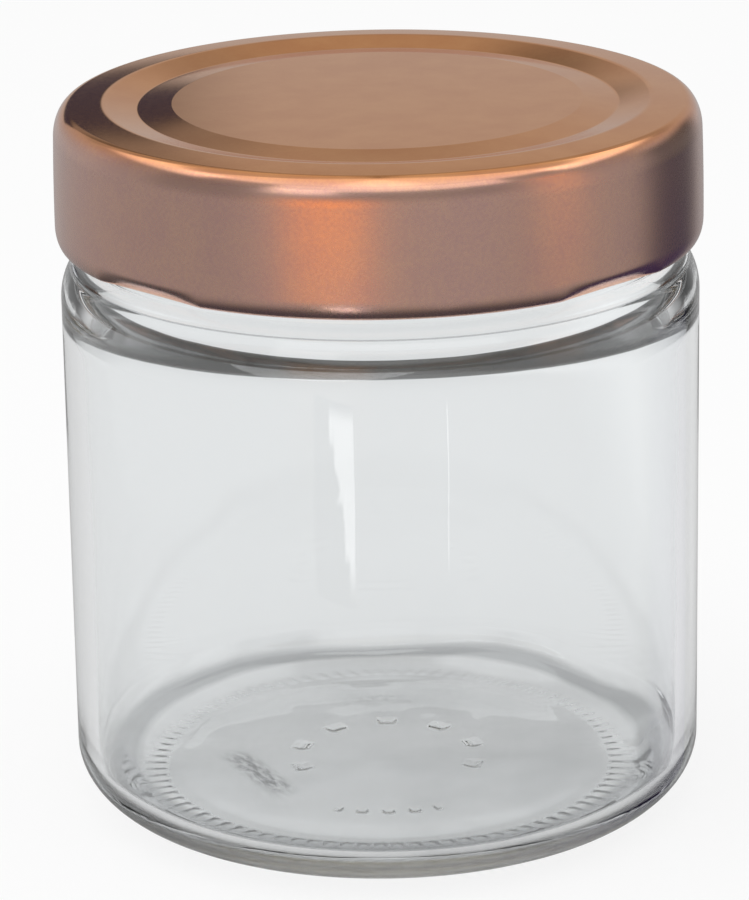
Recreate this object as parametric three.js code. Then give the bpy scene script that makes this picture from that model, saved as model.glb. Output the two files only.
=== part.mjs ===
// Twist-off jar: a squat glass jar and a deep-skirted metal lid with four lugs and a sealing liner.
// Millimetres, +Z up. The origin is on the jar's axis, in the plane that the jar stands on.
// Angles run from the front (-Y), counter-clockwise seen from above.

import * as THREE from 'three';

// Glass jar: body
const WALL_TOP = 60.2;            // height where the straight wall turns into the shoulder
const WALL_THICKNESS = 2.4;
const SHOULDER_REACH = 2.7;       // how far the body stands out past the neck
const SHOULDER_RADIUS = 6.5;
const INNER_SHOULDER_RADIUS = 6.5;
const INNER_SHOULDER_DROP = 3.75; // how far below the outer shoulder the inner one starts
const HEEL_WIDTH = 9.3;           // the rounded heel, measured inwards from the wall
const HEEL_HEIGHT = 7;            // the rounded heel, measured upwards from the ground
const BEARING_WIDTH = 2.6;        // the flat ring that the jar stands on
const PUSH_UP = 0.55;             // hollow under the middle of the base
const FLOOR_THICKNESS = 4.3;      // glass between the hollow and the inner floor
const FLOOR_CORNER = 2.5;         // radius between the inner floor and the wall

// Glass jar: neck and thread
const NECK_RADIUS = 33.4;
const NECK_WALL = 3;
const RIM_ROUND = 1.2;
const MOUTH_FOOT_RADIUS = 5.3;    // inside, where the mouth opens out under the neck
const NECK_SHOWING = 1.2;         // plain neck between the shoulder and the lid's lower edge
const THREAD_DEPTH = 1.1;
const THREAD_HEIGHT = 1.8;
const THREAD_RISE = 1.6;          // climb of one thread ridge from its locked end to its entry
const THREAD_RUNOUT = 8;          // degrees in which a ridge fades into the neck at each end

// Lid
const LID_HEIGHT = 15.7;
const SHEET = 0.2;
const CURL_DIAMETER = 1.6;
const CURL_TURN = 285;            // degrees that the sheet's edge is rolled through
const LID_CORNER = 2.2;           // rounded corner between the top and the skirt, measured inwards
const LID_CORNER_HEIGHT = 3.4;    // the same corner, measured downwards
const CROWN_DROP = 0.3;           // fall of the outer ring of the top towards the corner
const CHANNEL_SET = 0.3;          // the outer ring starts this far outside the mouth of the glass
const GROOVE_DEPTH = 0.85;        // bottom of the ring groove below the top
const GROOVE_OUTER_SLOPE = 3.8;   // width of the slope from the outer ring down into the groove
const GROOVE_INNER_SLOPE = 3.9;   // width of the slope from the groove up to the panel
const PANEL_RECESS = 0.4;         // middle panel below the top
const LUG_COUNT = 4;
const LUG_WIDTH = 15.8;           // length of the flat where the curl is pressed in
const LUG_START = 45;             // angle of the first lug at rest

// Sealing liner
const LINER_THICKNESS = 1;
const LINER_ROUND = 0.3;

// Clearances
const LID_CLEARANCE = 0.4;        // between the thread ridges and the inside of the curl
const LUG_CLEARANCE = 0.35;       // between a lug and the neck
const LUG_PLAY = 0.35;            // between a lug and the thread ridge over it
const LUG_PASS = 2.5;             // degrees between a lug and the ridges at each side of its gap
const BOND_GAP = 0.15;            // between the lid and its liner
const SEAT_GAP = 0.15;            // between the liner and the rim
const LINER_INSET = 0.1;          // between the liner's inner edge and the start of the outer ring

// Fineness of the round shapes
const SEGMENTS = 72;
const ARC_STEP = 20;              // degrees
const CURL_STEP = 35;             // degrees
const LINER_STEP = 45;            // degrees
const THREAD_ROWS = [-1, -0.55, 0, 0.55, 1];
const HOLLOW_SHARES = [0, 0.5];

const { abs, acos, asin, atan2, ceil, cos, floor, PI, round, sign, sin, sqrt } = Math;
const degrees = PI / 180;

// Worked out: the glass
const bodyRadius = NECK_RADIUS + SHOULDER_REACH;
const innerRadius = bodyRadius - WALL_THICKNESS;
const mouthRadius = NECK_RADIUS - NECK_WALL;
const shoulderCentre = bodyRadius - SHOULDER_RADIUS;
const innerShoulderCentre = innerRadius - INNER_SHOULDER_RADIUS;
const innerWallTop = WALL_TOP - INNER_SHOULDER_DROP;
const neckFoot = WALL_TOP + sqrt(SHOULDER_RADIUS ** 2 - (NECK_RADIUS - shoulderCentre) ** 2);
const mouthFootReach = mouthRadius + MOUTH_FOOT_RADIUS - innerShoulderCentre;
const mouthFootRise = sqrt((INNER_SHOULDER_RADIUS + MOUTH_FOOT_RADIUS) ** 2 - mouthFootReach ** 2);
const floorTop = PUSH_UP + FLOOR_THICKNESS;
const bearingOuter = bodyRadius - HEEL_WIDTH;
const bearingInner = bearingOuter - BEARING_WIDTH;

// Worked out: the lid, from the neck that it fits
const curlRadius = CURL_DIAMETER / 2;
const curlInner = NECK_RADIUS + THREAD_DEPTH + LID_CLEARANCE;
const lidRadius = curlInner + CURL_DIAMETER;
const lidBottom = neckFoot + NECK_SHOWING;
const lidTop = lidBottom + LID_HEIGHT;
const channelInner = mouthRadius + CHANNEL_SET;
const cornerStart = lidRadius - LID_CORNER;
const grooveRadius = channelInner - GROOVE_OUTER_SLOPE;
const panelRadius = grooveRadius - GROOVE_INNER_SLOPE;
const lugHalfAngle = asin(LUG_WIDTH / 2 / lidRadius);
const lugDepth = curlInner - (NECK_RADIUS + LUG_CLEARANCE);
const lugFlat = lidRadius * (1 - cos(lugHalfAngle));

// Worked out: the liner and the rim under it
const rimMiddle = (NECK_RADIUS + mouthRadius) / 2;
const crownSlope = CROWN_DROP / (cornerStart - channelInner);
const linerTop = (r) => lidTop - SHEET - crownSlope * (r - channelInner) - BOND_GAP;
const linerBottom = linerTop(rimMiddle) - LINER_THICKNESS;
const rimTop = linerBottom - SEAT_GAP;

// Worked out: the thread
const lugPitch = 2 * PI / LUG_COUNT;
const gapHalfAngle = lugHalfAngle + LUG_PASS * degrees;
const threadSpan = lugPitch - 2 * gapHalfAngle;
const threadLow = lidBottom + CURL_DIAMETER + LUG_PLAY + THREAD_HEIGHT / 2;

// Points of an arc about (r, z), from one angle to another, both included
function arc(r, z, radiusR, radiusZ, from, to, step = ARC_STEP) {
  const count = ceil(abs(to - from) / step);
  return Array.from({ length: count + 1 }, (_, i) => {
    const angle = (from + (to - from) * i / count) * degrees;
    return { r: r + radiusR * cos(angle), z: z + radiusZ * sin(angle) };
  });
}

// Turns a profile of { r, z } points about +Z; shape(point, angle) may move a point at an angle
function turned(profile, shape = (point) => point) {
  const geometry = new THREE.LatheGeometry(profile.map(({ r, z }) => new THREE.Vector2(r, z)), SEGMENTS);
  geometry.rotateX(PI / 2);
  const position = geometry.getAttribute('position');
  for (let i = 0; i < position.count; i += 1) {
    const ring = floor(i / profile.length) % SEGMENTS;
    const angle = ring * 2 * PI / SEGMENTS;
    const { r, z } = shape(profile[i % profile.length], angle);
    position.setXYZ(i, r * sin(angle), -r * cos(angle), z);
  }
  geometry.computeVertexNormals();
  return geometry;
}

// Signed angle from the middle of the nearest lug gap
function fromGap(angle) {
  const turns = (angle - LUG_START * degrees) / lugPitch;
  return (turns - round(turns)) * lugPitch;
}

// A thread ridge climbs counter-clockwise from 0 to 1, and falls back unseen in the gap for the lug
function threadClimb(angle) {
  const offset = fromGap(angle);
  if (abs(offset) < gapHalfAngle) return 0.5 - offset / (2 * gapHalfAngle);
  const past = offset - sign(offset) * gapHalfAngle;
  return (past > 0 ? 0 : 1) + past / threadSpan;
}

// A ridge stands out from the neck between two gaps, and fades into the neck at its ends
function threadFade(angle) {
  const inside = abs(fromGap(angle)) - gapHalfAngle;
  return THREE.MathUtils.smoothstep(inside, 0, THREAD_RUNOUT * degrees);
}

// The rows of the neck's profile that carry the ridges, moved to their place at an angle
function threadPoint(point, angle) {
  if (point.row === undefined) return point;
  return {
    r: point.r + THREAD_DEPTH * cos(point.row * PI / 2) * threadFade(angle),
    z: threadLow + THREAD_RISE * threadClimb(angle) + point.row * THREAD_HEIGHT / 2,
  };
}

// Clear glass: base, heel, wall, shoulder, threaded neck, rounded rim, and the inside back down
function glassJar() {
  const neckAngle = acos((NECK_RADIUS - shoulderCentre) / SHOULDER_RADIUS) / degrees;
  const mouthAngle = atan2(mouthFootRise, mouthFootReach) / degrees;
  const hollow = (share) => ({ r: bearingInner * share, z: PUSH_UP * (1 - share ** 2) });
  const profile = [
    ...HOLLOW_SHARES.map(hollow),
    { r: bearingInner, z: 0 },
    ...arc(bearingOuter, HEEL_HEIGHT, HEEL_WIDTH, HEEL_HEIGHT, -90, 0),
    ...arc(shoulderCentre, WALL_TOP, SHOULDER_RADIUS, SHOULDER_RADIUS, 0, neckAngle),
    ...THREAD_ROWS.map((row) => ({ r: NECK_RADIUS, z: threadLow, row })),
    ...arc(NECK_RADIUS - RIM_ROUND, rimTop - RIM_ROUND, RIM_ROUND, RIM_ROUND, 0, 90),
    ...arc(mouthRadius + RIM_ROUND, rimTop - RIM_ROUND, RIM_ROUND, RIM_ROUND, 90, 180),
    ...arc(
      mouthRadius + MOUTH_FOOT_RADIUS,
      innerWallTop + mouthFootRise,
      MOUTH_FOOT_RADIUS,
      MOUTH_FOOT_RADIUS,
      180,
      180 + mouthAngle,
    ),
    ...arc(
      innerShoulderCentre,
      innerWallTop,
      INNER_SHOULDER_RADIUS,
      INNER_SHOULDER_RADIUS,
      mouthAngle,
      0,
    ).slice(1),
    ...arc(innerRadius - FLOOR_CORNER, floorTop + FLOOR_CORNER, FLOOR_CORNER, FLOOR_CORNER, 0, -90),
    { r: 0, z: floorTop },
  ];
  return turned(profile, threadPoint);
}

// Share of the lug's press at an angle: a straight chord across each lug, nothing between lugs
function lugShare(angle) {
  const offset = abs(fromGap(angle));
  if (offset >= lugHalfAngle) return 0;
  return (1 - cos(lugHalfAngle) / cos(offset)) / (1 - cos(lugHalfAngle));
}

// The curl is pressed flatter as it is pressed in, so its inner side moves further than its outer side
function lidPoint(point, angle) {
  if (!point.press) return point;
  const inwards = (lidRadius - point.r) / CURL_DIAMETER;
  const press = lugFlat + (lugDepth - lugFlat) * inwards;
  return { r: point.r - point.press * press * lugShare(angle), z: point.z };
}

// One side of the pressed sheet, from the middle of the panel to the corner
function topRings(drop) {
  return [
    { r: 0, z: lidTop - PANEL_RECESS - drop },
    { r: panelRadius, z: lidTop - PANEL_RECESS - drop },
    { r: grooveRadius, z: lidTop - GROOVE_DEPTH - drop },
    { r: channelInner, z: lidTop - drop },
  ];
}

// Pressed tinplate: ringed top, rounded corner, straight skirt, open curl with four lugs. The press
// takes all of the curl but its outer side, which it takes less and less from the lower edge upwards.
function lidShell() {
  const curlMiddle = lidRadius - curlRadius;
  const cornerFoot = lidTop - CROWN_DROP - LID_CORNER_HEIGHT;
  const curlHeight = lidBottom + curlRadius;
  const pressShare = ({ r, z }) => {
    const outerSide = r > curlMiddle && z <= curlHeight;
    return outerSide ? (curlHeight - z) / curlRadius : 1;
  };
  const curl = (radius, from, to) =>
    arc(curlMiddle, curlHeight, radius, radius, from, to, CURL_STEP)
      .map((point) => ({ ...point, press: pressShare(point) }));
  const profile = [
    ...topRings(SHEET),
    ...arc(cornerStart, cornerFoot, LID_CORNER - SHEET, LID_CORNER_HEIGHT - SHEET, 90, 0),
    ...curl(curlRadius - SHEET, 0, -CURL_TURN),
    ...curl(curlRadius, -CURL_TURN, 0),
    ...arc(cornerStart, cornerFoot, LID_CORNER, LID_CORNER_HEIGHT, 0, 90),
    ...topRings(0).reverse(),
  ];
  return turned(profile, lidPoint);
}

// Soft compound ring: its top follows the lid's outer ring, its lower edges are rounded
function sealingLiner() {
  const inner = channelInner + LINER_INSET;
  const outer = cornerStart;
  const profile = [
    ...arc(inner + LINER_ROUND, linerBottom + LINER_ROUND, LINER_ROUND, LINER_ROUND, 180, 270, LINER_STEP),
    ...arc(outer - LINER_ROUND, linerBottom + LINER_ROUND, LINER_ROUND, LINER_ROUND, 270, 360, LINER_STEP),
    { r: outer, z: linerTop(outer) },
    { r: inner, z: linerTop(inner) },
  ];
  return turned([...profile, profile[0]]);
}

function piece(name, geometry, finish) {
  const mesh = new THREE.Mesh(geometry, new THREE.MeshStandardMaterial(finish));
  mesh.name = name;
  return mesh;
}

const jar = new THREE.Group();
jar.add(piece('glass_jar', glassJar(), { color: 0xdde0e0, roughness: 0.05, metalness: 0 }));
jar.add(piece('sealing_liner', sealingLiner(), { color: 0xd9d2c4, roughness: 0.6, metalness: 0 }));
jar.add(piece('lid_shell', lidShell(), { color: 0xae8c71, roughness: 0.35, metalness: 0.8 }));

export default jar;
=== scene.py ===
from math import asin, atan2, ceil, cos, pi, radians, sin, sqrt, tan

import bpy
from mathutils import Matrix, Vector


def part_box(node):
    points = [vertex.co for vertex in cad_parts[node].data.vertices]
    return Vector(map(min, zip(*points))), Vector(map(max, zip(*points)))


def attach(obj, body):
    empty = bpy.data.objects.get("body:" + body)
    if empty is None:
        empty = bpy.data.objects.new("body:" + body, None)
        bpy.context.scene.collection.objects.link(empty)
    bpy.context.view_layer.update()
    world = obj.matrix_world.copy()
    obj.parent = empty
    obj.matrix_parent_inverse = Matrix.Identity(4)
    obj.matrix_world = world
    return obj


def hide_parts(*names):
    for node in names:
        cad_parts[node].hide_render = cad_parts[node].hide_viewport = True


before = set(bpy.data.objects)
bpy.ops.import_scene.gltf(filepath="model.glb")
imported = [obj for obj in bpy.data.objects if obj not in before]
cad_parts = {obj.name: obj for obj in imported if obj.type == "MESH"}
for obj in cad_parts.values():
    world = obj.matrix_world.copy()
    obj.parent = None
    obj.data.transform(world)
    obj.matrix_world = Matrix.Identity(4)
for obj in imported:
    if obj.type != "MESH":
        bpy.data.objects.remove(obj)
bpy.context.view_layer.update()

# Glass jar
# The real piece is one press-and-blow moulding of clear soda-lime glass: base, heel, wall, shoulder,
# neck and rim in one. Its thread ridges, the fine ribs under its foot and the mould's marks in the
# hollow of the base come from the mould, and the inside is a little wavy because air shaped it.
mm = 0.001
jar_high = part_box("glass_jar")[1]
lid_low, lid_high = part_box("lid_shell")
body_radius = jar_high.x
rim_top = jar_high.z
lid_radius = lid_high.x
lid_bottom = lid_low.z
lid_top = lid_high.z
wall_top = 60.2 * mm
wall_thickness = 2.4 * mm
shoulder_reach = 2.7 * mm
shoulder_radius = 6.5 * mm
inner_shoulder_radius = 6.5 * mm
inner_shoulder_drop = 3.75 * mm
heel_width = 9.3 * mm
heel_height = 7 * mm
heel_stipple = 0.25
bearing_width = 2.6 * mm
push_up = 0.55 * mm
floor_thickness = 4.3 * mm
floor_corner = 2.5 * mm
neck_wall = 3 * mm
neck_foot_round = 0.35 * mm
seam_angle = 37
seam_width = 1.1
# Painted shade along the seam
seam_shade = 1
seam_height = 0.07 * mm
rim_round = 1.2 * mm
mouth_foot_radius = 5.3 * mm
thread_depth = 1.1 * mm
thread_height = 1.8 * mm
thread_rise = 1.6 * mm
thread_runout = radians(8)
lug_play = 0.35 * mm
lug_pass = radians(2.5)
curl_diameter = 1.6 * mm
lug_width = 15.8 * mm
lug_count = 4
first_lug = radians(45)
rib_count = 90
rib_depth = 0.28 * mm
rib_inset = 0.8 * mm
rib_reach = 1.6 * mm
rib_edge = 0.5 * mm
rib_worn = 0.3
# Painted shadow under the foot, shown at the front alone
foot_painted_shadow = 0.6
foot_shadow_inset = 1.4 * mm
foot_shadow_reach = 3.4 * mm
foot_shadow_edge = 1 * mm
foot_shadow_top = (2 * mm, 3.5 * mm)
foot_shadow_back = 8 * mm
foot_shadow_front = -12 * mm
stipple_inset = 3 * mm
stipple_end = 0.2 * mm
stipple_edge = 0.5 * mm
mark_depth = 0.3 * mm
mark_margin = 0.4 * mm
dash_count = 10
dash_ring = (9.6 * mm, 11.4 * mm)
dash_clear = (8 * mm, 12.5 * mm)
dash_edge = 0.5 * mm
dot_count = 36
dot_ring = (16.2 * mm, 17.8 * mm)
dot_clear = (15 * mm, 19 * mm)
dot_edge = 0.6 * mm
blown_waves = 2.2 * mm
blown_reach = 9 * mm
blown_sides = 0.55
blown_front = -0.25
ripple_share = 0.38
ripple_count = 6
ripple_start = radians(95)
# Painted shade round the inner floor's corner
corner_shade_reach = 5.4 * mm
corner_shade_inset = 0.7 * mm
corner_shade_edge = 1.2 * mm
# Painted shade towards the floor's front; the clouds below are random grey
floor_front_shade = 0.34
floor_shade_back = 2 * mm
floor_shade_front = -8 * mm
floor_band = (2 * mm, 1 * mm)
floor_clouds = 0.25
cloud_scale = 75
floor_eye = 4 * mm

# Rows of points set close beside a curve, so that its shading doesn't spread along the flat
wall_row = 0.6 * mm
wall_margin = 4 * mm
close_row = 0.4 * mm
neck_row = 1 * mm
weld = 0.001 * mm

glass_tint = (0.967, 0.98, 0.985, 1)
# Grey for painted shade and random clouds, and dark for the painted reflection in the floor
glass_shade_and_cloud_grey = (0.40, 0.41, 0.42, 1)
glass_painted_reflection = (0.14, 0.14, 0.145, 1)
glass_inside = (0.968, 0.972, 0.973, 1)
glass_density = 25
glass_shadow = (0.82, 0.83, 0.83, 1)
wave_scale = 110
wave_depth = 0.25 * mm
wave_strength = 0.25
# Size and place of the painted dark reflection in the floor
painted_reflection_length = 18 * mm
painted_reflection_width = 4.8 * mm
painted_reflection_turn = radians(-62)
fleck_scale = 1500
glass_ior = 1.52

neck_radius = body_radius - shoulder_reach
inner_radius = body_radius - wall_thickness
mouth_radius = neck_radius - neck_wall
shoulder_middle = body_radius - shoulder_radius
floor_top = push_up + floor_thickness
painted_reflection_middle = (-14.8 * mm, -8.6 * mm, floor_top)
bearing_outer = body_radius - heel_width
bearing_inner = bearing_outer - bearing_width
rib_inner = bearing_outer - rib_inset
rib_outer = bearing_outer + rib_reach
lug_half_angle = asin(lug_width / 2 / lid_radius)
gap_half_angle = lug_half_angle + lug_pass


def arc(r, z, radius_r, radius_z, start, end, step=4.0, **relief):
    """Profile points on an arc about (r, z), both ends included; angles in degrees."""
    count = ceil(abs(end - start) / step)
    angles = [radians(start + (end - start) * i / count) for i in range(count + 1)]
    return [(r + radius_r * cos(a), z + radius_z * sin(a), relief) for a in angles]


def spaced(start, end, count):
    """Values from start to end, both included."""
    return [start + (end - start) * i / (count - 1) for i in range(count)]


def bell(value, low, high, edge):
    """1 between low and high, falling smoothly to 0 over edge at each end."""
    inside = min(value - low, high - value) / edge
    inside = max(0.0, min(1.0, inside))
    return inside * inside * (3 - 2 * inside)


def node(tree, kind, inputs=None, **settings):
    """Adds a node; inputs maps a socket's name or number to a value or to another node's output."""
    made = tree.nodes.new(kind)
    for key, value in settings.items():
        setattr(made, key, value)
    for key, value in (inputs or {}).items():
        if isinstance(value, bpy.types.NodeSocket):
            tree.links.new(value, made.inputs[key])
        else:
            made.inputs[key].default_value = value
    return made


def calc(tree, operation, *values, clamp=False):
    """The output of a Math node."""
    made = node(tree, "ShaderNodeMath", dict(enumerate(values)), operation=operation, use_clamp=clamp)
    return made.outputs[0]


def smooth(tree, value, low, high):
    """0 at low and 1 at high, with a smooth step between."""
    inputs = {"Value": value, "From Min": low, "From Max": high}
    made = node(tree, "ShaderNodeMapRange", inputs, interpolation_type="SMOOTHSTEP")
    return made.outputs["Result"]


RELIEFS = ("ridge", "climb", "press", "rib", "dash", "dot", "blown", "tone", "rough")


def turning_tree():
    """Geometry Nodes that turn a profile about +Z and raise its ridges, ribs, marks and lugs.

    Each profile point says how far a feature moves it; the angle about the axis says where.
    """
    tree = bpy.data.node_groups.new("turned on its axis", "GeometryNodeTree")
    sockets = {
        "Profile": "NodeSocketGeometry", "Segments": "NodeSocketInt", "Lugs": "NodeSocketInt",
        "First lug": "NodeSocketFloat", "Lug half angle": "NodeSocketFloat",
        "Gap half angle": "NodeSocketFloat", "Thread run-out": "NodeSocketFloat",
        "Ribs": "NodeSocketInt", "Dashes": "NodeSocketInt", "Dots": "NodeSocketInt",
        "Material": "NodeSocketMaterial",
    }
    for name, kind in sockets.items():
        tree.interface.new_socket(name, in_out="INPUT", socket_type=kind)
    tree.interface.new_socket("Piece", in_out="OUTPUT", socket_type="NodeSocketGeometry")
    given = tree.nodes.new("NodeGroupInput").outputs

    size = node(tree, "GeometryNodeAttributeDomainSize", {"Geometry": given["Profile"]}, component="MESH")
    rows = size.outputs["Point Count"]
    columns = calc(tree, "ADD", given["Segments"], 1)
    grid = node(tree, "GeometryNodeMeshGrid", {"Vertices X": columns, "Vertices Y": rows})
    index = tree.nodes.new("GeometryNodeInputIndex").outputs[0]
    row = calc(tree, "MODULO", index, rows)
    column = calc(tree, "FLOOR", calc(tree, "DIVIDE", index, rows))
    angle = calc(tree, "MULTIPLY", calc(tree, "DIVIDE", column, given["Segments"]), 2 * pi)

    def profile_value(value, data_type):
        inputs = {"Geometry": given["Profile"], "Value": value, "Index": row}
        made = tree.nodes.new("GeometryNodeSampleIndex")
        made.data_type = data_type
        for key, source in inputs.items():
            tree.links.new(source, made.inputs[key])
        return made.outputs["Value"]

    place = profile_value(tree.nodes.new("GeometryNodeInputPosition").outputs[0], "FLOAT_VECTOR")
    place = node(tree, "ShaderNodeSeparateXYZ", {0: place})
    relief = {}
    for name in RELIEFS:
        named = node(tree, "GeometryNodeInputNamedAttribute", {"Name": name}, data_type="FLOAT")
        relief[name] = profile_value(named.outputs["Attribute"], "FLOAT")

    # Where an angle lies between two lugs: away from the nearest lug, and along a ridge from its low end
    pitch = calc(tree, "DIVIDE", 2 * pi, given["Lugs"])
    from_first = calc(tree, "SUBTRACT", angle, given["First lug"])
    turns = calc(tree, "DIVIDE", from_first, pitch)
    nearest = calc(tree, "SUBTRACT", turns, calc(tree, "ROUND", turns))
    offset = calc(tree, "ABSOLUTE", calc(tree, "MULTIPLY", nearest, pitch))
    from_ridge = calc(tree, "SUBTRACT", from_first, given["Gap half angle"])
    along = calc(tree, "FRACT", calc(tree, "DIVIDE", from_ridge, pitch))
    gap_share = calc(tree, "DIVIDE", calc(tree, "MULTIPLY", given["Gap half angle"], 2), pitch)
    rising = calc(tree, "DIVIDE", along, calc(tree, "SUBTRACT", 1, gap_share))
    falling = calc(tree, "DIVIDE", calc(tree, "SUBTRACT", 1, along), gap_share)
    climb = calc(tree, "MINIMUM", rising, falling)
    ridge_end = calc(tree, "ADD", given["Gap half angle"], given["Thread run-out"])
    ridge = smooth(tree, offset, given["Gap half angle"], ridge_end)
    lug_cosine = calc(tree, "COSINE", given["Lug half angle"])
    chord = calc(tree, "SUBTRACT", 1, calc(tree, "DIVIDE", lug_cosine, calc(tree, "COSINE", offset)))
    press = calc(tree, "DIVIDE", chord, calc(tree, "SUBTRACT", 1, lug_cosine), clamp=True)

    # Ribs all round the foot, fainter at the back; dashes round the hollow but for its front, where a
    # short row of dots lies
    rib_wave = calc(tree, "COSINE", calc(tree, "MULTIPLY", angle, given["Ribs"]))
    facing = calc(tree, "COSINE", angle)
    worn = calc(tree, "MULTIPLY_ADD", smooth(tree, facing, -0.6, 0.1), 1 - rib_worn, rib_worn)
    rib = calc(tree, "MULTIPLY", smooth(tree, rib_wave, 0.8, -0.6), worn)
    dash_wave = calc(tree, "COSINE", calc(tree, "MULTIPLY", angle, given["Dashes"]))
    dash = calc(tree, "MULTIPLY", smooth(tree, dash_wave, 0.35, 0.75), smooth(tree, facing, 0.55, 0.45))
    dot_wave = calc(tree, "COSINE", calc(tree, "MULTIPLY", angle, given["Dots"]))
    dot = calc(tree, "MULTIPLY", smooth(tree, dot_wave, 0.1, 0.7), smooth(tree, facing, 0.93, 0.95))

    # Slow unevenness of the inside, which no mould touched: high at both sides, rippled at the right
    # towards the back, and a little low at the front
    sides = calc(tree, "POWER", calc(tree, "SINE", angle), 2)
    right = calc(tree, "MULTIPLY_ADD", calc(tree, "SINE", angle), 0.5, 0.5)
    ripple = calc(tree, "MULTIPLY", calc(tree, "SUBTRACT", angle, ripple_start), ripple_count)
    ripple = calc(tree, "COSINE", ripple)
    slow = calc(tree, "MULTIPLY", calc(tree, "MULTIPLY", right, ripple), ripple_share)
    slow = calc(tree, "MULTIPLY_ADD", sides, blown_sides, slow)
    slow = calc(tree, "MULTIPLY", slow, smooth(tree, facing, 0.5, -0.1))
    slow = calc(tree, "MULTIPLY_ADD", smooth(tree, facing, 0, 1), blown_front, slow)

    radius = calc(tree, "MULTIPLY_ADD", relief["ridge"], ridge, place.outputs["X"])
    radius = calc(tree, "SUBTRACT", radius, calc(tree, "MULTIPLY", relief["press"], press))
    height = calc(tree, "MULTIPLY_ADD", relief["climb"], climb, place.outputs["Z"])
    height = calc(tree, "MULTIPLY_ADD", relief["rib"], rib, height)
    height = calc(tree, "SUBTRACT", height, calc(tree, "MULTIPLY", relief["dash"], dash))
    height = calc(tree, "SUBTRACT", height, calc(tree, "MULTIPLY", relief["dot"], dot))
    height = calc(tree, "MULTIPLY_ADD", relief["blown"], slow, height)
    sideways = calc(tree, "MULTIPLY", radius, calc(tree, "SINE", angle))
    backwards = calc(tree, "MULTIPLY", calc(tree, "MULTIPLY", radius, calc(tree, "COSINE", angle)), -1)
    where = node(tree, "ShaderNodeCombineXYZ", {"X": sideways, "Y": backwards, "Z": height})

    marked = grid.outputs["Mesh"]
    for name in ("tone", "rough"):
        inputs = {"Geometry": marked, "Name": name, "Value": relief[name]}
        marked = node(
            tree, "GeometryNodeStoreNamedAttribute", inputs, data_type="FLOAT", domain="POINT"
        ).outputs[0]
    moved = node(tree, "GeometryNodeSetPosition", {"Geometry": marked, "Position": where.outputs[0]})
    closed = node(tree, "GeometryNodeMergeByDistance", {"Geometry": moved.outputs[0], "Distance": weld})
    rounded = node(tree, "GeometryNodeSetShadeSmooth", {"Geometry": closed.outputs[0]})
    real = node(tree, "GeometryNodeRealizeInstances", {"Geometry": rounded.outputs[0]})
    finished = node(
        tree, "GeometryNodeSetMaterial", {"Geometry": real.outputs[0], "Material": given["Material"]}
    )
    out = tree.nodes.new("NodeGroupOutput")
    tree.links.new(finished.outputs[0], out.inputs["Piece"])
    return tree


turning = turning_tree()


def turned(name, profile, material, **sizes):
    """A plain mesh object: the profile turned about +Z, in the order that points its faces outwards."""
    mesh = bpy.data.meshes.new(name)
    edges = [(i, i + 1) for i in range(len(profile) - 1)]
    mesh.from_pydata([(r, 0, z) for r, z, _ in profile], edges, [])
    for key in RELIEFS:
        values = [relief.get(key, 0.0) for _, _, relief in profile]
        mesh.attributes.new(key, "FLOAT", "POINT").data.foreach_set("value", values)
    piece = bpy.data.objects.new(name, mesh)
    bpy.context.scene.collection.objects.link(piece)
    modifier = piece.modifiers.new("turning", "NODES")
    modifier.node_group = turning
    values = {
        "Lugs": lug_count, "First lug": first_lug, "Lug half angle": lug_half_angle,
        "Gap half angle": gap_half_angle, "Thread run-out": thread_runout, "Ribs": rib_count,
        "Dashes": dash_count, "Dots": dot_count, "Material": material, **sizes,
    }
    for socket in turning.interface.items_tree:
        if socket.name in values:
            modifier[socket.identifier] = values[socket.name]
    depsgraph = bpy.context.evaluated_depsgraph_get()
    piece.data = bpy.data.meshes.new_from_object(piece.evaluated_get(depsgraph))
    piece.data.name = name
    piece.modifiers.clear()
    return piece


def material_named(name):
    """A new material with its node tree, Principled shader and Object coordinates."""
    material = bpy.data.materials.new(name)
    material.use_nodes = True
    tree = material.node_tree
    place = node(tree, "ShaderNodeTexCoord").outputs["Object"]
    return material, tree, tree.nodes["Principled BSDF"], place


def blended(tree, share, first, second):
    """The colour output of a Mix node."""
    made = node(tree, "ShaderNodeMix", {0: share, 6: first, 7: second}, data_type="RGBA")
    return made.outputs[2]


clear_glass, tree, shader, place = material_named("clear moulded glass")

# A painted dark reflection in the floor, streaked along its length
painted_reflection_place = node(
    tree, "ShaderNodeMapping", {"Vector": place, "Location": painted_reflection_middle, "Rotation": (0, 0, painted_reflection_turn)},
    vector_type="TEXTURE",
).outputs[0]
painted_reflection_parts = node(tree, "ShaderNodeSeparateXYZ", {0: painted_reflection_place}).outputs
painted_reflection = smooth(tree, calc(tree, "ABSOLUTE", painted_reflection_parts["X"]), painted_reflection_length / 2, painted_reflection_length / 5)
across = smooth(tree, calc(tree, "ABSOLUTE", painted_reflection_parts["Y"]), painted_reflection_width / 2, painted_reflection_width / 8)
painted_reflection = calc(tree, "MULTIPLY", painted_reflection, across)
streaks = node(tree, "ShaderNodeMapping", {"Vector": painted_reflection_place, "Scale": (0.3, 1, 1)}).outputs[0]
flecks = node(tree, "ShaderNodeTexNoise", {"Vector": streaks, "Scale": fleck_scale, "Detail": 4})
flecks = smooth(tree, flecks.outputs["Fac"], 0.25, 0.65)
painted_reflection = calc(tree, "MULTIPLY", painted_reflection, flecks)
on_floor = smooth(tree, calc(tree, "ABSOLUTE", painted_reflection_parts["Z"]), *floor_band)
painted_reflection = calc(tree, "MULTIPLY", painted_reflection, on_floor)
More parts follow.
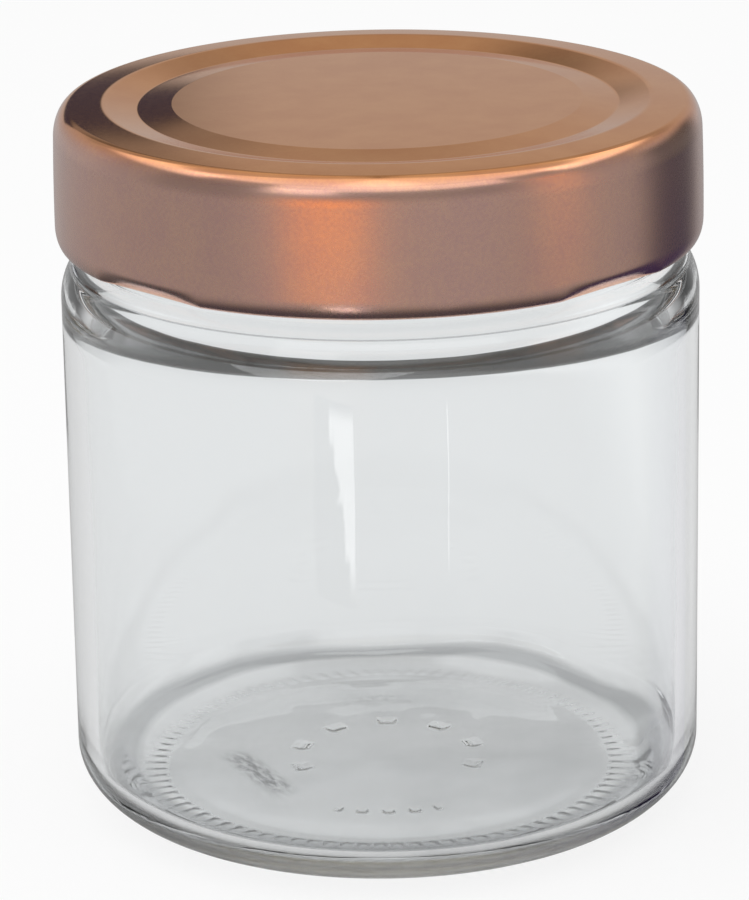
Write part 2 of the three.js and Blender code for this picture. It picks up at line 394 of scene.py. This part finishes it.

# Grey in the glass: random clouds on the floor, and painted shade towards the floor's front, under the
# foot at the front alone, and all round in the floor's corner and on the seam
clouds = node(tree, "ShaderNodeTexNoise", {"Vector": place, "Scale": cloud_scale, "Detail": 2})
clouds = smooth(tree, clouds.outputs["Fac"], 0.45, 0.75)
glass_parts = node(tree, "ShaderNodeSeparateXYZ", {0: place}).outputs
floor_shade_and_clouds = smooth(tree, glass_parts["Y"], floor_shade_back, floor_shade_front)
floor_shade_and_clouds = calc(tree, "MULTIPLY", floor_shade_and_clouds, floor_front_shade)
floor_shade_and_clouds = calc(tree, "MULTIPLY_ADD", clouds, floor_clouds, floor_shade_and_clouds)
floor_shade_and_clouds = calc(tree, "MULTIPLY", floor_shade_and_clouds, on_floor)
above_foot = smooth(tree, glass_parts["Z"], *foot_shadow_top)
at_front = smooth(tree, glass_parts["Y"], foot_shadow_back, foot_shadow_front)
tone = node(tree, "ShaderNodeAttribute", attribute_name="tone").outputs["Fac"]
tone = calc(tree, "MULTIPLY", tone, calc(tree, "MAXIMUM", above_foot, at_front))
tone = calc(tree, "MAXIMUM", tone, floor_shade_and_clouds)
glass_colour = blended(tree, painted_reflection, blended(tree, tone, glass_tint, glass_shade_and_cloud_grey), glass_painted_reflection)
tree.links.new(glass_colour, shader.inputs["Base Color"])
stipple = node(tree, "ShaderNodeAttribute", attribute_name="rough").outputs["Fac"]
tree.links.new(stipple, shader.inputs["Roughness"])
shader.inputs["IOR"].default_value = glass_ior
shader.inputs["Transmission Weight"].default_value = 1
stretched = node(tree, "ShaderNodeMapping", {"Vector": place, "Scale": (1, 1, 0.35)}).outputs[0]
waves = node(tree, "ShaderNodeTexNoise", {"Vector": stretched, "Scale": wave_scale, "Detail": 1})
wave_inputs = {"Strength": wave_strength, "Distance": wave_depth, "Height": waves.outputs["Fac"]}
swell = node(tree, "ShaderNodeBump", wave_inputs)
tree.links.new(swell.outputs[0], shader.inputs["Normal"])
light_through = node(tree, "ShaderNodeBsdfTransparent", {"Color": glass_shadow})
is_shadow = node(tree, "ShaderNodeLightPath").outputs["Is Shadow Ray"]
mixed = node(
    tree, "ShaderNodeMixShader",
    {0: is_shadow, 1: shader.outputs[0], 2: light_through.outputs[0]},
)
tree.links.new(mixed.outputs[0], tree.nodes["Material Output"].inputs["Surface"])
tinted = node(tree, "ShaderNodeVolumeAbsorption", {"Color": glass_inside, "Density": glass_density})
tree.links.new(tinted.outputs[0], tree.nodes["Material Output"].inputs["Volume"])


def hollow(r, **relief):
    """A point of the shallow hollow under the base."""
    return (r, push_up * (1 - (r / bearing_inner) ** 2), relief)


def mark_rows(ring, edge):
    """Radii across a ring of marks, each with its share of the marks' depth."""
    low, high = ring
    return [(r, bell(r, low, high, edge)) for r in spaced(low - mark_margin, high + mark_margin, 8)]


under_foot = [
    *[hollow(r) for r in spaced(0, dash_clear[0], 3)],
    *[hollow(r, dash=mark_depth * share) for r, share in mark_rows(dash_ring, dash_edge)],
    *[hollow(r) for r in spaced(dash_clear[1], dot_clear[0], 3)],
    *[hollow(r, dot=mark_depth * share) for r, share in mark_rows(dot_ring, dot_edge)],
    *[hollow(r) for r in spaced(dot_clear[1], bearing_inner, 6)[:-1]],
]


def ribbed(r, z):
    """A point under the foot or on the heel: ribbed and darkened by painted shadow near the foot, stippled
    above it.
    """
    rib = rib_depth * bell(r, rib_inner, rib_outer, rib_edge)
    painted_shade = bell(r, rib_outer - foot_shadow_inset, rib_outer + foot_shadow_reach, foot_shadow_edge)
    stippled = bell(r, rib_outer + stipple_inset, body_radius - stipple_end, stipple_edge)
    return (r, z, {"rib": rib, "tone": foot_painted_shadow * painted_shade, "rough": heel_stipple * stippled})


foot = [ribbed(r, 0) for r in spaced(bearing_inner, bearing_outer, 8)]
heel = arc(bearing_outer, heel_height, heel_width, heel_height, -90, 0, step=4.5)[1:]
heel = [ribbed(r, z) for r, z, _ in heel]
wall_heights = [
    heel_height + wall_row,
    *spaced(heel_height + wall_margin, wall_top - wall_margin, 5),
    wall_top - wall_row,
]
wall = [(body_radius, z, {}) for z in wall_heights]


def shoulder_corner(middle_r, middle_z, radius, wall_r, corner):
    """Height and start angle of a corner round between an arc about the middle and a wall above it."""
    reach = wall_r + corner - middle_r
    rise = sqrt((radius + corner) ** 2 - reach ** 2)
    return middle_z + rise, atan2(rise, reach) * 180 / pi


neck_foot, neck_angle = shoulder_corner(
    shoulder_middle, wall_top, shoulder_radius, neck_radius, neck_foot_round
)
seam_radius = shoulder_radius + seam_height
shoulder = [
    *arc(shoulder_middle, wall_top, shoulder_radius, shoulder_radius, 0, seam_angle - seam_width),
    *arc(
        shoulder_middle, wall_top, seam_radius, seam_radius,
        seam_angle - seam_width / 2, seam_angle + seam_width / 2, tone=seam_shade,
    ),
    *arc(shoulder_middle, wall_top, shoulder_radius, shoulder_radius, seam_angle + seam_width, neck_angle),
]
foot_of_neck = arc(
    neck_radius + neck_foot_round, neck_foot, neck_foot_round, neck_foot_round,
    180 + neck_angle, 180, step=10,
)[1:]
thread_low = lid_bottom + curl_diameter + lug_play + thread_height / 2
thread = [
    (
        neck_radius, thread_low + share * thread_height / 2,
        {"ridge": thread_depth * cos(share * pi / 2) ** 0.8, "climb": thread_rise},
    )
    for share in spaced(-1, 1, 11)
]
neck_rows = [
    (neck_radius, neck_foot + neck_row, {}),
    *thread,
    (neck_radius, rim_top - rim_round - close_row, {}),
]
rim = [
    *arc(neck_radius - rim_round, rim_top - rim_round, rim_round, rim_round, 0, 90, step=12),
    *arc(mouth_radius + rim_round, rim_top - rim_round, rim_round, rim_round, 90, 180, step=12),
]


def blown_floor(r, z):
    """A point of the inner floor or its corner: uneven and darkened by painted shade at the corner, level
    towards the middle.
    """
    uneven = bell(r, inner_radius - blown_reach, 2 * inner_radius, blown_reach)
    painted_shade = bell(
        r, inner_radius - corner_shade_reach, inner_radius - corner_shade_inset, corner_shade_edge
    )
    return (r, z, {"blown": blown_waves * uneven, "tone": painted_shade})


inner_middle = inner_radius - inner_shoulder_radius
inner_wall_top = wall_top - inner_shoulder_drop
inner_wall_foot = floor_top + floor_corner + blown_waves + wall_row
inner_heights = spaced(inner_wall_top - wall_row, inner_wall_foot, 7)
floor_radii = (*spaced(inner_radius - floor_corner - close_row, floor_eye, 22), 0)
inner_corner = arc(
    inner_radius - floor_corner, floor_top + floor_corner, floor_corner, floor_corner, 0, -90, step=7
)
mouth_foot, mouth_angle = shoulder_corner(
    inner_middle, inner_wall_top, inner_shoulder_radius, mouth_radius, mouth_foot_radius
)
inside = [
    (mouth_radius, rim_top - rim_round - close_row, {}),
    (mouth_radius, mouth_foot + close_row, {}),
    *arc(
        mouth_radius + mouth_foot_radius, mouth_foot, mouth_foot_radius, mouth_foot_radius,
        180, 180 + mouth_angle, step=5,
    ),
    *arc(
        inner_middle, inner_wall_top, inner_shoulder_radius, inner_shoulder_radius, mouth_angle, 0, step=6
    )[1:],
    *[(inner_radius, z, {}) for z in inner_heights],
    *[blown_floor(r, z) for r, z, _ in inner_corner],
    *[blown_floor(r, floor_top) for r in floor_radii],
]
jar_profile = [*under_foot, *foot, *heel, *wall, *shoulder, *foot_of_neck, *neck_rows, *rim, *inside]
jar = turned("jar_glass", jar_profile, clear_glass, Segments=540)
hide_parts("glass_jar")
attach(jar, "jar")

# Lid
# The real piece is one disc of thin tinplate, lacquered copper outside and pale gold inside, then
# pressed to a ringed top and a deep skirt. Its edge is rolled in to a curl, and the curl is pressed
# flat at four places to make the lugs that run under the jar's thread ridges.
sheet = 0.2 * mm
lid_corner = 2.2 * mm
lid_corner_height = 3.4 * mm
skirt_taper = 0.18 * mm
crown_drop = 0.3 * mm
channel_set = 0.3 * mm
groove_depth = 0.85 * mm
groove_outer_slope = 3.8 * mm
groove_inner_slope = 3.9 * mm
panel_recess = 0.4 * mm
panel_round = 0.9 * mm
groove_round = 1.2 * mm
crown_round = 2.4 * mm
corner_row = 0.2 * mm
roll_height = 2 * mm
roll_row = 0.3 * mm
curl_turn = 285
hair = 0.01 * mm
lug_clearance = 0.35 * mm
copper = (0.82, 0.36, 0.125, 1)
copper_deep = (0.76, 0.31, 0.10, 1)
drawn_copper = (0.82, 0.43, 0.28, 1)
drawn_copper_deep = (0.69, 0.34, 0.28, 1)
pale_gold = (0.72, 0.62, 0.42, 1)
top_roughness = 0.09
skirt_roughness = 0.26
grain_roughness = 0.04
haze_roughness = 0.3
haze_ior = 2.5
drawn_end = 0.15 * mm
satin_start = 1.3 * mm
satin_end = 0.1 * mm
haze_start = 1 * mm
haze_end = 0.2 * mm
lacquer_cloud_scale = 160
grain_scale = 2600
mottle_scale = 350
mottle_depth = 0.01 * mm

curl_radius = curl_diameter / 2
curl_inner = lid_radius - curl_diameter
channel_inner = mouth_radius + channel_set
corner_start = lid_radius - lid_corner
groove_radius = channel_inner - groove_outer_slope
panel_radius = groove_radius - groove_inner_slope
lug_depth = curl_inner - neck_radius - lug_clearance
lug_flat = lid_radius * (1 - cos(lug_half_angle))
corner_height = lid_top - crown_drop - lid_corner_height
corner_reach = lid_corner - skirt_taper
crown_slope = crown_drop / (corner_start - channel_inner)


def filleted(corners, step=6.0):
    """Profile points along (r, z, radius) corners, each inner corner rounded by its radius."""
    points = [corners[0][:2]]
    for before, corner, after in zip(corners, corners[1:], corners[2:]):
        point = Vector(corner[:2])
        back = (Vector(before[:2]) - point).normalized()
        on = (Vector(after[:2]) - point).normalized()
        half = back.angle(on) / 2
        middle = point + (back + on).normalized() * (corner[2] / sin(half))
        start = point + back * (corner[2] / tan(half)) - middle
        turn = start.angle_signed(point + on * (corner[2] / tan(half)) - middle)
        count = ceil(abs(turn) / radians(step)) + 1
        for i in range(count + 1):
            points.append(tuple(middle + Matrix.Rotation(-turn * i / count, 2) @ start))
    points.append(corners[-1][:2])
    return points


def top_rings(drop):
    """One face of the pressed top from the axis to the corner, drop below the outer face."""
    edge = corner_start - corner_row
    return filleted([
        (0, lid_top - panel_recess - drop, 0),
        (panel_radius, lid_top - panel_recess - drop, panel_round),
        (groove_radius, lid_top - groove_depth - drop, groove_round),
        (channel_inner, lid_top - drop, crown_round),
        (edge, lid_top - drop - crown_slope * (edge - channel_inner), 0),
    ])


def skirt(r, downwards, **relief):
    """Rows of the skirt between the corner and the curl, drawn in a little towards the corner."""
    foot = lid_bottom + roll_height
    heights = spaced(corner_height - close_row, foot + roll_row, 10)
    rows = [(r - skirt_taper * ((z - foot) / (corner_height - foot)) ** 2, z, relief) for z in heights]
    return rows if downwards else rows[::-1]


def curl(radius, start, end, **relief):
    """Rows of the curl, with how far a lug's press moves each; the outer side rolls in slowly."""
    middle = lid_radius - curl_radius
    middle_height = lid_bottom + curl_radius
    rows = []
    for r, z, _ in arc(middle, middle_height, radius, radius, start, end, step=10):
        outer_side = r > middle and z < middle_height + hair
        share = bell(z, 0, middle_height, curl_radius) if outer_side else 1.0
        press = lug_flat + (lug_depth - lug_flat) * (lid_radius - r) / curl_diameter
        rise = (z - lid_bottom) * (roll_height / curl_radius if outer_side else 1)
        rows.append((r, lid_bottom + rise, {**relief, "press": share * press}))
    return rows


lid_profile = [
    *[(r, z, {"tone": 1}) for r, z in top_rings(sheet)],
    *arc(
        corner_start, corner_height, corner_reach - sheet, lid_corner_height - sheet, 90, 0, step=5, tone=1
    ),
    *skirt(lid_radius - sheet, True, tone=1),
    *curl(curl_radius - sheet, 0, -curl_turn, tone=1),
    *curl(curl_radius, -curl_turn, 0),
    *skirt(lid_radius, False),
    *arc(corner_start, corner_height, corner_reach, lid_corner_height, 0, 90),
    *[(r, z, {}) for r, z in top_rings(0)[::-1]],
]

lacquer, tree, shader, place = material_named("satin copper lacquer")
cloud_inputs = {"Vector": place, "Scale": lacquer_cloud_scale, "Detail": 6, "Roughness": 0.65}
cloud = node(tree, "ShaderNodeTexNoise", cloud_inputs).outputs["Fac"]
cloud = smooth(tree, cloud, 0.3, 0.7)
grain = node(tree, "ShaderNodeTexNoise", {"Vector": place, "Scale": grain_scale, "Detail": 2})
grain = smooth(tree, grain.outputs["Fac"], 0.3, 0.7)
speckled = calc(tree, "MULTIPLY_ADD", grain, 0.5, calc(tree, "MULTIPLY", cloud, 0.5))
is_inside = node(tree, "ShaderNodeAttribute", attribute_name="tone").outputs["Fac"]
place_parts = node(tree, "ShaderNodeSeparateXYZ", {0: place}).outputs
flat_place = node(tree, "ShaderNodeCombineXYZ", {"X": place_parts["X"], "Y": place_parts["Y"]}).outputs[0]
from_axis = node(tree, "ShaderNodeVectorMath", {0: flat_place}, operation="LENGTH").outputs["Value"]
drawn = smooth(tree, from_axis, corner_start, lid_radius - drawn_end)
top_colour = blended(tree, cloud, copper, copper_deep)
skirt_colour = blended(tree, speckled, drawn_copper, drawn_copper_deep)
outside_colour = blended(tree, drawn, top_colour, skirt_colour)
tree.links.new(blended(tree, is_inside, outside_colour, pale_gold), shader.inputs["Base Color"])
satin = smooth(tree, from_axis, corner_start + satin_start, lid_radius - satin_end)
roughness = calc(tree, "MULTIPLY_ADD", satin, skirt_roughness - top_roughness, top_roughness)
roughness = calc(tree, "MULTIPLY_ADD", grain, grain_roughness, roughness)
tree.links.new(roughness, shader.inputs["Roughness"])
hazy = smooth(tree, from_axis, corner_start + haze_start, lid_radius - haze_end)
tree.links.new(hazy, shader.inputs["Coat Weight"])
mottle = node(tree, "ShaderNodeTexNoise", {"Vector": place, "Scale": mottle_scale, "Detail": 1})
skin_inputs = {"Strength": drawn, "Distance": mottle_depth, "Height": mottle.outputs["Fac"]}
skin = node(tree, "ShaderNodeBump", skin_inputs)
tree.links.new(skin.outputs[0], shader.inputs["Normal"])
shader.inputs["Metallic"].default_value = 1
shader.inputs["Coat Roughness"].default_value = haze_roughness
shader.inputs["Coat IOR"].default_value = haze_ior
lid = turned("lid_sheet", lid_profile, lacquer, Segments=480)
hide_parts("lid_shell")
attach(lid, "lid")

# Sealing liner
# The real piece is a ring of soft compound, poured into the lid's channel and cured there.
# It fills the channel's width, and the closed lid presses it on the rim of the glass.
liner_low, liner_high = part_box("sealing_liner")
liner_outer = liner_high.x
liner_gap = 0.1 * mm
liner_inner = mouth_radius + channel_set + liner_gap
liner_round = 0.3 * mm
liner_cream = (0.78, 0.74, 0.64, 1)
liner_shade = (0.70, 0.66, 0.56, 1)
liner_roughness = 0.6
liner_mottle_scale = 400
liner_outer_top = liner_high.z - crown_slope * (liner_outer - liner_inner)
liner_middle = (liner_low.z + liner_high.z) / 2
liner_profile = [(r, z, {}) for r, z in filleted([
    (liner_inner, liner_middle, 0),
    (liner_inner, liner_low.z, liner_round),
    (liner_outer, liner_low.z, liner_round),
    (liner_outer, liner_outer_top, liner_round),
    (liner_inner, liner_high.z, liner_round),
    (liner_inner, liner_middle, 0),
], step=20)]

compound, tree, shader, place = material_named("cured sealing compound")
mottle = node(tree, "ShaderNodeTexNoise", {"Vector": place, "Scale": liner_mottle_scale, "Detail": 3})
liner_colour = blended(tree, mottle.outputs["Fac"], liner_cream, liner_shade)
tree.links.new(liner_colour, shader.inputs["Base Color"])
shader.inputs["Roughness"].default_value = liner_roughness
liner = turned("liner_ring", liner_profile, compound, Segments=240)
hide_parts("sealing_liner")
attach(liner, "liner")

# Floor
# A plain white table top, lit as white as the background and keeping the jar's shadow.
# Through the glass it is a little less white, with a painted pool of light on the right.
floor_reach = 1.5
floor_drop = 0.3 * mm
floor_white = (0.66, 0.66, 0.66, 1)
glow_share_straight = 0.85
glow_share_through = 0.74
floor_glow = 0.82
painted_right_light = 0.15
right_start = 34 * mm
right_full = 60 * mm
mesh = bpy.data.meshes.new("floor")
corners = [(-1, -1), (1, -1), (1, 1), (-1, 1)]
corners = [(x * floor_reach, y * floor_reach, -floor_drop) for x, y in corners]
mesh.from_pydata(corners, [], [(0, 1, 2, 3)])
floor = bpy.data.objects.new("floor", mesh)
bpy.context.scene.collection.objects.link(floor)
floor.visible_glossy = False
table_top, tree, shader, place = material_named("white table top")
shader.inputs["Base Color"].default_value = floor_white
shader.inputs["Roughness"].default_value = 1
shader.inputs["Specular IOR Level"].default_value = 0
path_of_light = node(tree, "ShaderNodeLightPath").outputs
shown = calc(tree, "MULTIPLY", path_of_light["Is Camera Ray"], glow_share_straight)
shown = calc(tree, "MULTIPLY_ADD", path_of_light["Is Transmission Ray"], glow_share_through, shown)
floor_place = node(tree, "ShaderNodeSeparateXYZ", {0: place}).outputs
# Painted light: the floor glows brighter on the right for rays through the glass
painted_light_on_right = smooth(tree, floor_place["X"], right_start, right_full)
painted_light_on_right = calc(tree, "MULTIPLY", painted_light_on_right, path_of_light["Is Transmission Ray"])
glow_strength = calc(tree, "MULTIPLY_ADD", painted_light_on_right, painted_right_light, floor_glow)
glow_strength = calc(tree, "MULTIPLY_ADD", path_of_light["Is Camera Ray"], 1 - floor_glow, glow_strength)
glow = node(tree, "ShaderNodeEmission", {"Color": (1, 1, 1, 1), "Strength": glow_strength})
white = node(tree, "ShaderNodeMixShader", {0: shown, 1: shader.outputs[0], 2: glow.outputs[0]})
tree.links.new(white.outputs[0], tree.nodes["Material Output"].inputs["Surface"])
mesh.materials.append(table_top)

# Light
# A white studio: one soft lamp overhead, and a surround whose bright and dark panels the lid mirrors.
# Straight on it is plain white; through the glass a dark belt shows in the shoulder.
lamp_size = 0.8
lamp_power = 5
lamp_place = (-0.15, -0.1, 0.9)
lamp_data = bpy.data.lights.new("soft lamp", "AREA")
lamp_data.shape = "DISK"
lamp_data.size = lamp_size
lamp_data.energy = lamp_power
lamp = bpy.data.objects.new("soft lamp", lamp_data)
lamp.location = lamp_place
lamp.rotation_euler = (-lamp.location.normalized()).to_track_quat("-Z", "Y").to_euler()
lamp.visible_glossy = False
bpy.context.scene.collection.objects.link(lamp)

surround = 0.38
amber = (1, 0.38, 0.02)
purple = (0.05, 0.035, 0.1)
belt_dark = 0.04
belt_edge = 0.09
sky_pale = 0.72
side_pale = (0.92, 0.92, 0.92, 1)
panels = [
    # middle and half width round the jar, low and high edge, edge's softness, added brightness, warm or not
    (0, 180, 46, 100, 6, 0.78, False),
    (180, 85, 44, 80, 8, -0.5, False),
    (4, 46, 31, 46, 3, 0.75, False),
    (-28, 12, 20, 33, 3, 1, False),
    (0, 18, 46, 90, 10, 0.45, False),
    (-106, 32, 36, 52, 6, 0.9, False),
    (112, 34, 36, 50, 6, 1.2, False),
    (-64, 22, -2, 34, 6, -0.12, False),
    (10, 40, 8, 34, 5, -0.1, False),
    (-18, 14, -14, 8, 6, 1.04, True),
    (-18, 14, -14, 8, 6, -0.19, False),
    (0, 45, -30, 4, 10, 0.06, False),
    (66, 9, -14, 30, 6, 0.35, True),
    (-132, 22, -40, 10, 8, -0.05, False),
    (128, 20, -90, 16, 8, -0.38, False),
    (0, 180, -100, -34, 14, -0.3, False),
    (180, 70, -15, 50, 12, 0.13, False),
    (180, 40, 25, 33, 3, -0.11, False),
    (-165, 11.8, 8, 17.5, 1.8, -0.45, False),
    (-165, 11, 17, 34, 1.5, -0.22, False),
]
studio = bpy.data.worlds.new("white studio")
bpy.context.scene.world = studio
studio.use_nodes = True
tree = studio.node_tree
direction = node(tree, "ShaderNodeTexCoord").outputs["Generated"]
direction = node(tree, "ShaderNodeSeparateXYZ", {0: direction}).outputs
around = calc(tree, "ARCTAN2", direction["X"], calc(tree, "MULTIPLY", direction["Y"], -1))
rise = calc(tree, "ARCSINE", direction["Z"])
neutral = surround
warm = 0
for middle, half, low, high, edge, brightness, is_warm in panels:
    aside = calc(tree, "WRAP", calc(tree, "SUBTRACT", around, radians(middle)), pi, -pi)
    aside = calc(tree, "ABSOLUTE", aside)
    cover = smooth(tree, aside, radians(half + edge), radians(half - edge))
    cover = calc(tree, "MULTIPLY", cover, smooth(tree, rise, radians(low - edge), radians(low + edge)))
    cover = calc(tree, "MULTIPLY", cover, smooth(tree, rise, radians(high + edge), radians(high - edge)))
    if is_warm:
        warm = calc(tree, "MULTIPLY_ADD", cover, brightness, warm)
    else:
        neutral = calc(tree, "MULTIPLY_ADD", cover, brightness, neutral)
mirrored = [
    calc(tree, "MULTIPLY_ADD", warm, share, calc(tree, "MAXIMUM", neutral, least))
    for share, least in zip(amber, purple)
]
mirrored = node(tree, "ShaderNodeCombineColor", dict(enumerate(mirrored))).outputs[0]
path_of_light = node(tree, "ShaderNodeLightPath").outputs

# Through the glass: pale below the level and high up, dark in a belt between them, pale at both sides
below_level = smooth(tree, rise, radians(1), radians(-2.5))
near_level = smooth(tree, rise, radians(10), radians(4))
high_up = smooth(tree, rise, radians(20), radians(27))
through = calc(tree, "MULTIPLY_ADD", near_level, belt_edge, belt_dark)
through = calc(tree, "MULTIPLY_ADD", below_level, sky_pale, through)
through = calc(tree, "MULTIPLY_ADD", high_up, sky_pale, through)
from_behind = calc(tree, "WRAP", calc(tree, "SUBTRACT", around, pi), pi, -pi)
behind = smooth(tree, calc(tree, "ABSOLUTE", from_behind), radians(80), radians(50))
through = blended(tree, behind, side_pale, through)
seen = blended(tree, path_of_light["Is Transmission Ray"], mirrored, through)
seen = blended(tree, path_of_light["Is Camera Ray"], seen, (1, 1, 1, 1))
tree.links.new(seen, tree.nodes["Background"].inputs["Color"])

# Two strips of window light close in front of the jar, mirrored as bright streaks in its glass
strip_distance = 93 * mm
strip_glow = 3.4
strip_low = 13 * mm
strip_high = 39 * mm
strip_right = -13.8 * mm
strip_spread = 13 * mm
strip_ragged = 0.6
ragged_scale = 350
strip_edge = 1.5 * mm
strip_high_fade = 3 * mm
strip_low_fade = 7 * mm
slit = (31.2 * mm, 31.7 * mm)
mesh = bpy.data.meshes.new("window_strips")
sides = (strip_right - 1.5 * strip_spread, strip_right, *slit)
corners = [(x, -strip_distance, z) for x in sides for z in (strip_low, strip_high)]
mesh.from_pydata(corners, [], [(0, 2, 3, 1), (4, 6, 7, 5)])
window = bpy.data.objects.new("window_strips", mesh)
bpy.context.scene.collection.objects.link(window)
daylight, tree, shader, place = material_named("daylight")
shader.inputs["Base Color"].default_value = (0, 0, 0, 1)
shader.inputs["Emission Color"].default_value = (1, 1, 1, 1)
strip_place = node(tree, "ShaderNodeSeparateXYZ", {0: place}).outputs
ragged = node(tree, "ShaderNodeTexNoise", {"Vector": place, "Scale": ragged_scale, "Detail": 3})
ragged = calc(tree, "SUBTRACT", ragged.outputs["Fac"], 0.5)
up = smooth(tree, strip_place["Z"], strip_low, strip_high)
reach = calc(tree, "MULTIPLY", calc(tree, "MULTIPLY_ADD", up, 0.8, 0.1), strip_spread)
reach = calc(tree, "MULTIPLY_ADD", ragged, strip_ragged * strip_spread, reach)
inwards = calc(tree, "SUBTRACT", calc(tree, "ADD", strip_place["X"], reach), strip_right)
glow_share = smooth(tree, inwards, -strip_edge, strip_edge)
high_end = smooth(tree, strip_place["Z"], strip_high, strip_high - strip_high_fade)
low_end = smooth(tree, strip_place["Z"], strip_low, strip_low + strip_low_fade)
glow_share = calc(tree, "MULTIPLY", glow_share, calc(tree, "MULTIPLY", high_end, low_end))
tree.links.new(calc(tree, "MULTIPLY", glow_share, strip_glow), shader.inputs["Emission Strength"])
mesh.materials.append(daylight)
window.visible_camera = False
window.visible_diffuse = False
window.visible_transmission = False
window.visible_shadow = False

# Light is followed far enough to leave the thick glass of the heel and shoulder
bpy.context.scene.cycles.max_bounces = 24
bpy.context.scene.cycles.transmission_bounces = 24
bpy.context.scene.cycles.glossy_bounces = 16

# Camera
# The photograph's view: a long lens half a metre in front of the jar and above it, looking down a
# little. Its angles are in radians.
camera_lens = 177.48
camera_place = (0, -0.4838, 0.1988)
looking_down = 0.316
looking_left = 0.002
leaning = -0.017
camera_data = bpy.data.cameras.new("camera")
camera_data.lens = camera_lens
camera = bpy.data.objects.new("camera", camera_data)
camera.location = camera_place
tilt = Matrix.Rotation(pi / 2 - looking_down, 3, "X")
turn = Matrix.Rotation(looking_left, 3, "Z")
roll = Matrix.Rotation(leaning, 3, "Z")
camera.rotation_euler = (turn @ tilt @ roll).to_euler()
bpy.context.scene.collection.objects.link(camera)
bpy.context.scene.camera = camera
bpy.context.scene.view_settings.view_transform = "Standard"
